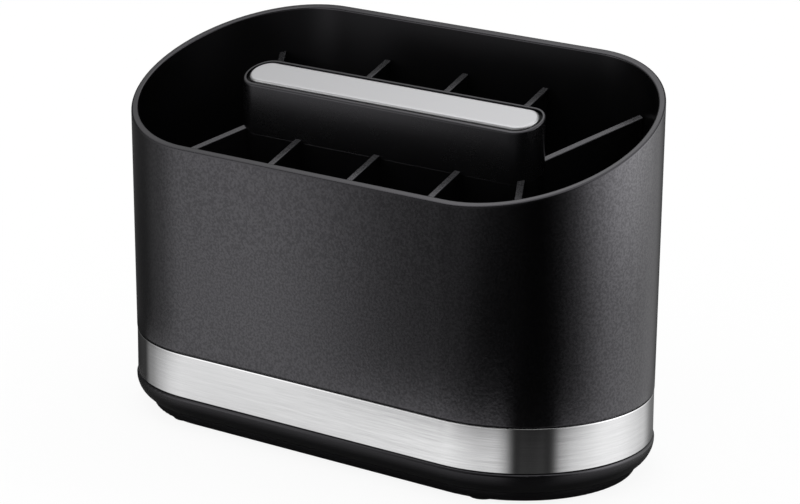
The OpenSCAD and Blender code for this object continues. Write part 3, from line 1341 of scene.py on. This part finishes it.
@dataclass(frozen=True)
class Viewpoint:
    """The camera, where the photograph was taken from.

    Attributes:
        place: where the camera stands.
        azimuth: its side of the object; 0 looks along +Y.
        elevation: its height above the horizon.
        roll: its turn about its own axis.
        lens: focal length, in millimetres.
        sensor: width of the sensor, in millimetres.
        clip: nearest and farthest distance that it sees.
    """

    place: tuple[float, float, float] = (0.79428, -1.05911, 0.46684)
    azimuth: float = math.radians(36.686)
    elevation: float = math.radians(16.440)
    roll: float = math.radians(0.369)
    lens: float = 152.97
    sensor: float = 36.0
    clip: Pair = (0.05, 50.0)

    def build(self) -> None:
        """Makes the camera and hands it to the scene."""
        camera = add_object("viewpoint", bpy.data.cameras.new("viewpoint"))
        level = math.cos(self.elevation)
        east, south = math.sin(self.azimuth) * level, math.cos(self.azimuth) * level
        ahead = -Vector((east, -south, math.sin(self.elevation)))
        turn = ahead.to_track_quat("-Z", "Y").to_matrix().to_4x4() @ Matrix.Rotation(self.roll, 4, "Z")
        camera.matrix_world = Matrix.Translation(self.place) @ turn
        camera.data.sensor_width = self.sensor
        camera.data.lens = self.lens
        camera.data.clip_start, camera.data.clip_end = self.clip
        bpy.context.scene.camera = camera


@dataclass(frozen=True)
class LightCurve:
    """Light that changes along one measure, such as a length.

    Attributes:
        stops: pairs of measure and level, in rising order.
    """

    stops: tuple[Pair, ...]

    @property
    def reach(self) -> Pair:
        """The first and the last measure."""
        return self.stops[0][0], self.stops[-1][0]

    def at(self, tree: ShaderTree, value: Field) -> Field:
        """Looks the light up.

        Args:
            tree: tree to add to.
            value: the measure.

        Returns:
            The level as a field.
        """
        low, high = self.reach
        peak = max(level for _, level in self.stops)
        node = tree.add("ShaderNodeValToRGB", {"Fac": (value - low) / (high - low)})
        ramp = node.color_ramp
        ramp.interpolation = "CARDINAL"
        # a new ramp has two stops; the others start midway, and then all take their places
        for _ in self.stops[2:]:
            ramp.elements.new(0.5)
        for element, (measure, level) in zip(ramp.elements, self.stops):
            element.position = (measure - low) / (high - low)
            element.color = (level / peak,) * 3 + (1.0,)
        return Field(tree, node.outputs["Color"]) * peak


def flat_mesh(name: str, along: Pair, across: Pair, up: float) -> Mesh:
    """Makes a level rectangle.

    Args:
        name: name of the new mesh.
        along: its ends in X.
        across: its ends in Y.
        up: its height.

    Returns:
        The mesh.
    """
    (left, right), (front, rear) = along, across
    plan = [(left, front), (right, front), (right, rear), (left, rear)]
    mesh = bpy.data.meshes.new(name)
    mesh.from_pydata([(x, y, up) for x, y in plan], [], [(0, 1, 2, 3)])
    return mesh


class StageLight:
    """A lamp of graded light, seen only in the object's gloss."""

    def mesh(self) -> Mesh:
        """The lamp's surface."""
        raise NotImplementedError

    def light(self, tree: ShaderTree, place: tuple[Field, Field, Field]) -> Field:
        """Works out the light at a place on the lamp.

        Args:
            tree: tree to add to.
            place: X, Y and Z of the place.

        Returns:
            The light as a field.
        """
        raise NotImplementedError

    def build(self) -> None:
        """Makes the lamp."""
        mesh = self.mesh()
        material = bpy.data.materials.new(mesh.name)
        tree = ShaderTree(material)
        light = self.light(tree, tree.parts(tree.place()))
        tree.show(tree.use("ShaderNodeEmission", "Emission", {"Strength": light}))
        mesh.materials.append(material)
        lamp = add_object(mesh.name, mesh)
        lamp.visible_camera = False
        lamp.visible_diffuse = False
        lamp.visible_shadow = False


@dataclass(frozen=True)
class GradedScreen(StageLight):
    """A screen of graded light that runs round the object at an even distance.

    The light is given by the way along the screen from the middle of the front: a broad
    lamp on the left, a dark gap near the right end, a broad lamp on the right, and little
    light at the rear.

    Attributes:
        run: straight run of its plan.
        radius: its distance from the middle line of the plan.
        height: heights of its lower and upper edge.
        lower: light along its low strip, which the band mirrors.
        middle: light along its middle, which the wall mirrors.
        upper: light along its high part, which the top of the wall mirrors.
        depth: how far below the table the low strip ends, along the screen.
        strip: height of the low strip.
        under: share of the low strip's light that is left below it.
        blend: half the height over which the strip's edges fade.
        rise: heights between which the middle gives way to the high part.
        steps: pieces in each rounded end.
    """

    run: float = 130 * MM
    radius: float = 0.25
    height: Pair = (-0.8, 0.26)
    lower: LightCurve = LightCurve((
        (-0.92, 0.15), (-0.84, 0.3), (-0.75, 0.3), (-0.62, 0.06), (-0.46, 0.05), (-0.44, 0.07),
        (-0.415, 0.27), (-0.36, 0.52), (-0.29, 0.96), (-0.23, 1.18), (-0.19, 1.14), (-0.12, 1.26),
        (-0.06, 1.4), (0.0, 1.3), (0.07, 1.14), (0.145, 1.04), (0.178, 0.55), (0.198, 0.1),
        (0.23, 0.055), (0.29, 0.06), (0.33, 0.1), (0.352, 0.55), (0.39, 0.98), (0.48, 1.33),
        (0.58, 1.42), (0.65, 1.22), (0.71, 0.98), (0.76, 0.75), (0.81, 0.3), (0.92, 0.15),
    ))
    middle: LightCurve = LightCurve((
        (-0.92, 0.08), (-0.86, 0.12), (-0.79, 0.25), (-0.73, 0.25), (-0.62, 0.1), (-0.41, 0.08),
        (-0.35, 0.26), (-0.3, 0.42), (-0.254, 0.75), (-0.21, 1.15), (-0.175, 1.3), (-0.15, 1.14),
        (-0.125, 0.66), (-0.1, 0.31), (-0.07, 0.22), (0.0, 0.21), (0.05, 0.12), (0.1, 0.05),
        (0.2, 0.025), (0.31, 0.02), (0.36, 0.12), (0.42, 0.42), (0.48, 0.95), (0.54, 1.3),
        (0.6, 1.3), (0.68, 0.95), (0.76, 0.65), (0.81, 0.4), (0.87, 0.13), (0.92, 0.08),
    ))
    upper: LightCurve = LightCurve((
        (-0.92, 0.08), (-0.86, 0.12), (-0.79, 0.25), (-0.73, 0.25), (-0.62, 0.12), (-0.41, 0.12),
        (-0.35, 0.3), (-0.3, 0.45), (-0.254, 0.8), (-0.2, 1.22), (-0.16, 1.15), (-0.13, 0.68),
        (-0.1, 0.35), (-0.07, 0.24), (0.03, 0.28), (0.1, 0.16), (0.2, 0.04), (0.3, 0.03),
        (0.36, 0.25), (0.4, 0.7), (0.45, 1.65), (0.5, 2.4), (0.55, 3.0), (0.6, 2.9),
        (0.66, 2.1), (0.74, 1.0), (0.81, 0.45), (0.87, 0.13), (0.92, 0.08),
    ))
    depth: LightCurve = LightCurve((
        (-0.92, 0.036), (-0.3, 0.036), (-0.2, 0.035), (-0.08, 0.05), (-0.04, 0.044), (0.03, 0.0395),
        (0.1, 0.038), (0.16, 0.037), (0.5, 0.039), (0.65, 0.042), (0.92, 0.04),
    ))
    strip: float = 38 * MM
    under: float = 0.6
    blend: float = 1.5 * MM
    rise: Pair = (0.01, 0.09)
    steps: int = 36

    def mesh(self) -> Mesh:
        """Makes the lamp's surface.

        Returns:
            The mesh.
        """
        turns = [math.pi * step / self.steps for step in range(self.steps + 1)]
        end, radius = self.run / 2, self.radius
        right = [(end + radius * math.sin(turn), -radius * math.cos(turn)) for turn in turns]
        plan = right + [(-x, y) for x, y in reversed(right)]
        count = len(plan)
        points = [(x, y, z) for z in self.height for x, y in plan]
        faces = [(i, (i + 1) % count, (i + 1) % count + count, i + count) for i in range(count)]
        mesh = bpy.data.meshes.new("graded_screen")
        mesh.from_pydata(points, [], faces)
        return mesh

    def light(self, tree: ShaderTree, place: tuple[Field, Field, Field]) -> Field:
        """Works out the light at a place on the lamp.

        Args:
            tree: tree to add to.
            place: X, Y and Z of the place.

        Returns:
            The light as a field.
        """
        x, y, z = place
        wide = x.call("ABSOLUTE")
        turn = tree.math("ARCTAN2", (wide - self.run / 2).call("MAXIMUM", 0.0), y * -1.0)
        straight = wide.call("MINIMUM", self.run / 2) - self.run / 2
        way = turn * self.radius + straight * turn.call("COSINE") + self.run / 2
        along = x.call("SIGN") * way
        low, mid, high = (curve.at(tree, along) for curve in (self.lower, self.middle, self.upper))
        past_strip = z + self.depth.at(tree, along)
        on_strip = tree.fade(past_strip + self.strip, -self.blend, self.blend)
        over_strip = tree.fade(past_strip, -self.blend, self.blend)
        low = low * (self.under + on_strip * (1.0 - self.under))
        return low + over_strip * (mid - low) + tree.fade(z, *self.rise) * (high - mid)


@dataclass(frozen=True)
class SoftBox(StageLight):
    """A soft box above the object, with faded edges.

    Attributes:
        up: its height.
        along: light by X.
        across: share of the light by Y.
    """

    up: float = 0.55
    along: LightCurve = LightCurve((
        (-0.9, 0.5), (-0.45, 0.75), (-0.37, 0.9), (-0.31, 1.15), (-0.28, 1.22), (-0.24, 1.45),
        (-0.195, 1.7), (-0.13, 1.5), (-0.06, 1.2), (0.0, 1.15), (0.7, 1.15),
    ))
    across: LightCurve = LightCurve((
        (-0.6, 0.0), (-0.45, 0.0), (-0.25, 1.0), (0.0, 1.0), (0.2, 1.0), (0.26, 0.88),
        (0.32, 0.68), (0.39, 0.5), (0.46, 0.0), (0.6, 0.0),
    ))

    def mesh(self) -> Mesh:
        """The lamp's surface."""
        return flat_mesh("soft_box", self.along.reach, self.across.reach, self.up)

    def light(self, tree: ShaderTree, place: tuple[Field, Field, Field]) -> Field:
        """Works out the light at a place on the lamp."""
        x, y, _ = place
        return self.along.at(tree, x) * self.across.at(tree, y)


@dataclass(frozen=True)
class Studio:
    """A pale floor with soft light all round.

    Attributes:
        lamps: what the object's gloss mirrors.
        dim: light between the lamps, as the gloss sees it.
        fill: light that dull surfaces get from all round.
        floor_size: side of the floor.
        floor_colour: colour of the floor.
        floor_glow: what lifts the floor to white for the camera.
        floor_near: distances from the plan's middle line between which the floor fades from
            the gloss and leaves it to the lamps.
    """

    lamps: tuple[StageLight, ...] = (GradedScreen(), SoftBox())
    dim: float = 0.015
    fill: float = 0.8
    floor_size: float = 8.0
    floor_colour: float = 0.16
    floor_glow: float = 0.9
    floor_near: Pair = (56 * MM, 86 * MM)

    def build(self, form: Form) -> None:
        """Makes the surroundings, the floor and the lamps.

        Args:
            form: the object's shared sizes, which the near floor follows.
        """
        self.build_world()
        self.build_floor(form)
        for lamp in self.lamps:
            lamp.build()

    def build_world(self) -> None:
        """Makes the world: white to the camera, dim to glossy surfaces, an even fill to dull ones."""
        world = bpy.data.worlds.new("studio_world")
        tree = ShaderTree(world)
        mirrored = tree.ray("Is Glossy Ray").call("MAXIMUM", tree.ray("Is Transmission Ray"))
        light = self.fill + mirrored * (self.dim - self.fill)
        light = light + tree.ray("Is Camera Ray") * (1.0 - light)
        sky = tree.use("ShaderNodeBackground", "Background", {"Strength": light})
        tree.show(sky, "ShaderNodeOutputWorld")
        world.cycles.sampling_method = "NONE"
        bpy.context.scene.world = world

    def build_floor(self, form: Form) -> None:
        """Makes the pale floor, which keeps the object's shadow.

        Args:
            form: the object's shared sizes.
        """
        sides = (-self.floor_size / 2, self.floor_size / 2)
        mesh = flat_mesh("studio_floor", sides, sides, 0.0)
        material = bpy.data.materials.new("studio_floor")
        tree = ShaderTree(material)
        inputs = {
            "Base Color": (self.floor_colour,) * 3 + (1.0,),
            "Roughness": 1.0,
            "Specular IOR Level": 0.0,
            "Emission Color": (1.0, 1.0, 1.0, 1.0),
            "Emission Strength": tree.ray("Is Camera Ray") * self.floor_glow,
        }
        pale = tree.use("ShaderNodeBsdfPrincipled", "BSDF", inputs)
        clear = tree.use("ShaderNodeBsdfTransparent", "BSDF")
        x, y, _ = tree.parts(tree.place())
        past_run = (x.call("ABSOLUTE") - form.run / 2).call("MAXIMUM", 0.0)
        away = (past_run * past_run + y * y).call("SQRT")
        far = tree.fade(away, *self.floor_near) * tree.ray("Is Glossy Ray")
        mix = tree.add("ShaderNodeMixShader")
        for socket, value in zip(mix.inputs, (far, pale, clear)):
            tree.feed(socket, value)
        tree.show(Field(tree, mix.outputs["Shader"]))
        mesh.materials.append(material)
        floor = add_object("studio_floor", mesh)


def main() -> None:
    """Builds the object's looks, the camera and the studio, in order."""
    logging.basicConfig(level=logging.INFO, format="%(name)s: %(message)s")
    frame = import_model()
    Viewpoint().build()
    form = Form()
    sweep, walls = OblongSweep(), DividerWalls()
    Bin(form, sweep).build(frame)
    Insert(form, sweep, walls).build(frame)
    Studio().build(form)
    bpy.context.scene.view_settings.view_transform = "Standard"


if __name__ == "__main__":
    main()
